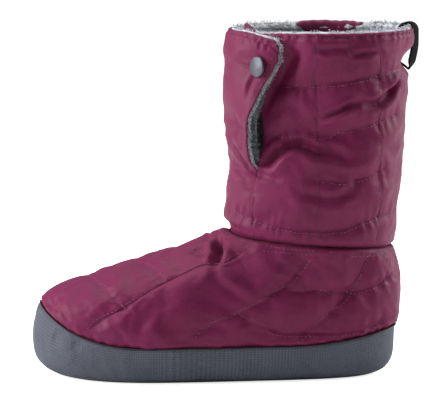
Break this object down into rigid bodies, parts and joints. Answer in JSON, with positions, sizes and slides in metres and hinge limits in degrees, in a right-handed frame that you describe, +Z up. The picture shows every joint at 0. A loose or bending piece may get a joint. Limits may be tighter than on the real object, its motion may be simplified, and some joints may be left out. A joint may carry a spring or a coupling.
{
  "type": "down bootie",
  "caption": "Tall quilted down bootie for the left foot: padded nylon foot and shaft, textile rand over a soft rubber sole, fleece inside, snapped side vent and webbing pull loop",
  "frame": {"origin": "on the floor plane under the sole, halfway along the sole's length and near the middle of its width", "axes": "+X from toe to heel, +Y towards the inner side of the left foot, +Z up"},
  "size_m": [0.2981, 0.1068, 0.271],
  "materials": {
    "rubber": "dull, moulded",
    "rand_canvas": "coated grid weave",
    "quilted_nylon": "satin, down filled",
    "fleece": "short pile",
    "snap_metal": "satin",
    "webbing": "woven tape"
  },
  "bodies": {
    "root": {"tread_pad": "rubber", "rand": "rand_canvas", "upper": "quilted_nylon", "shaft": "quilted_nylon", "insole": "fleece", "snap_cap": "snap_metal", "snap_back": "snap_metal", "pull_loop": "webbing"}
  },
  "joints": []
}
